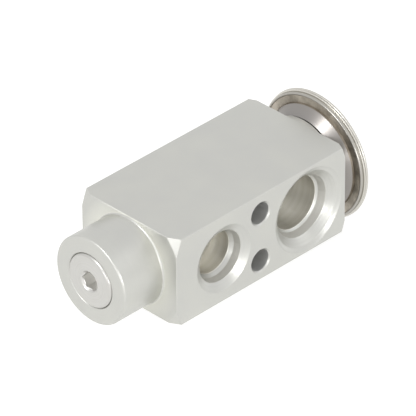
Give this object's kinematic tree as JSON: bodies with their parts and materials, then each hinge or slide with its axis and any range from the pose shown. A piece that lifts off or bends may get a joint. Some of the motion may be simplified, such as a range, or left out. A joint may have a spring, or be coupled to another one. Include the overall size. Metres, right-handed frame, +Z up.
{
  "type": "block-type expansion valve",
  "caption": "Machined aluminium expansion valve block with refrigerant ports, through holes for bolts, an adjusting screw in a round boss and a welded diaphragm head.",
  "frame": {"origin": "on the valve axis, midway between the two bolt holes and midway through the block", "axes": "+X along the valve axis towards the diaphragm head, -Y out of the face with the liquid inlet, +Z up"},
  "size_m": [0.0913, 0.0382, 0.0382],
  "materials": {
    "machined_aluminium": "matt machined",
    "screw_aluminium": "matt turned",
    "stem_aluminium": "turned",
    "head_stainless": "turned and pressed, satin",
    "turned_stainless": "turned",
    "spring_steel": "drawn",
    "ball_steel": "polished",
    "seal_rubber": "moulded",
    "guide_plastic": "moulded"
  },
  "bodies": {
    "valve_block": {"valve_body": "machined_aluminium", "rod_o_ring": "seal_rubber", "rod_seal_washer": "guide_plastic", "seal_retainer": "spring_steel", "diaphragm": "spring_steel", "head_lower_housing": "head_stainless", "head_cover": "head_stainless", "charge_plug": "head_stainless", "head_o_ring": "seal_rubber"},
    "screw_travel": {"adjusting_screw_o_ring": "seal_rubber"},
    "screw": {"adjusting_screw": "screw_aluminium"},
    "lift": {"superheat_spring": "spring_steel", "ball_carrier": "turned_stainless", "damping_ring": "spring_steel", "valve_ball": "ball_steel", "push_rod": "turned_stainless", "sensing_stem": "stem_aluminium", "stop_plate": "turned_stainless"}
  },
  "joints": [
    {"name": "screw_advance", "type": "slide", "parent": "valve_block", "child": "screw_travel", "axis": [1, 0, 0], "range_m": [-0.00105, 0.00105], "deforming": ["superheat_spring"]},
    {"name": "screw_turn", "type": "hinge", "parent": "screw_travel", "child": "screw", "pos_m": [-0.0414, 0, 0], "axis": [1, 0, 0], "range_deg": [-360, 360]},
    {"name": "valve_lift", "type": "slide", "parent": "valve_block", "child": "lift", "axis": [-1, 0, 0], "range_m": [0, 0.0006], "stiffness_N_per_m": 12000, "deforming": ["superheat_spring"]}
  ],
  "couplings": [
    {"joint": "screw_advance", "follows": "screw_turn", "m_per_rad": 0.00015915}
  ]
}
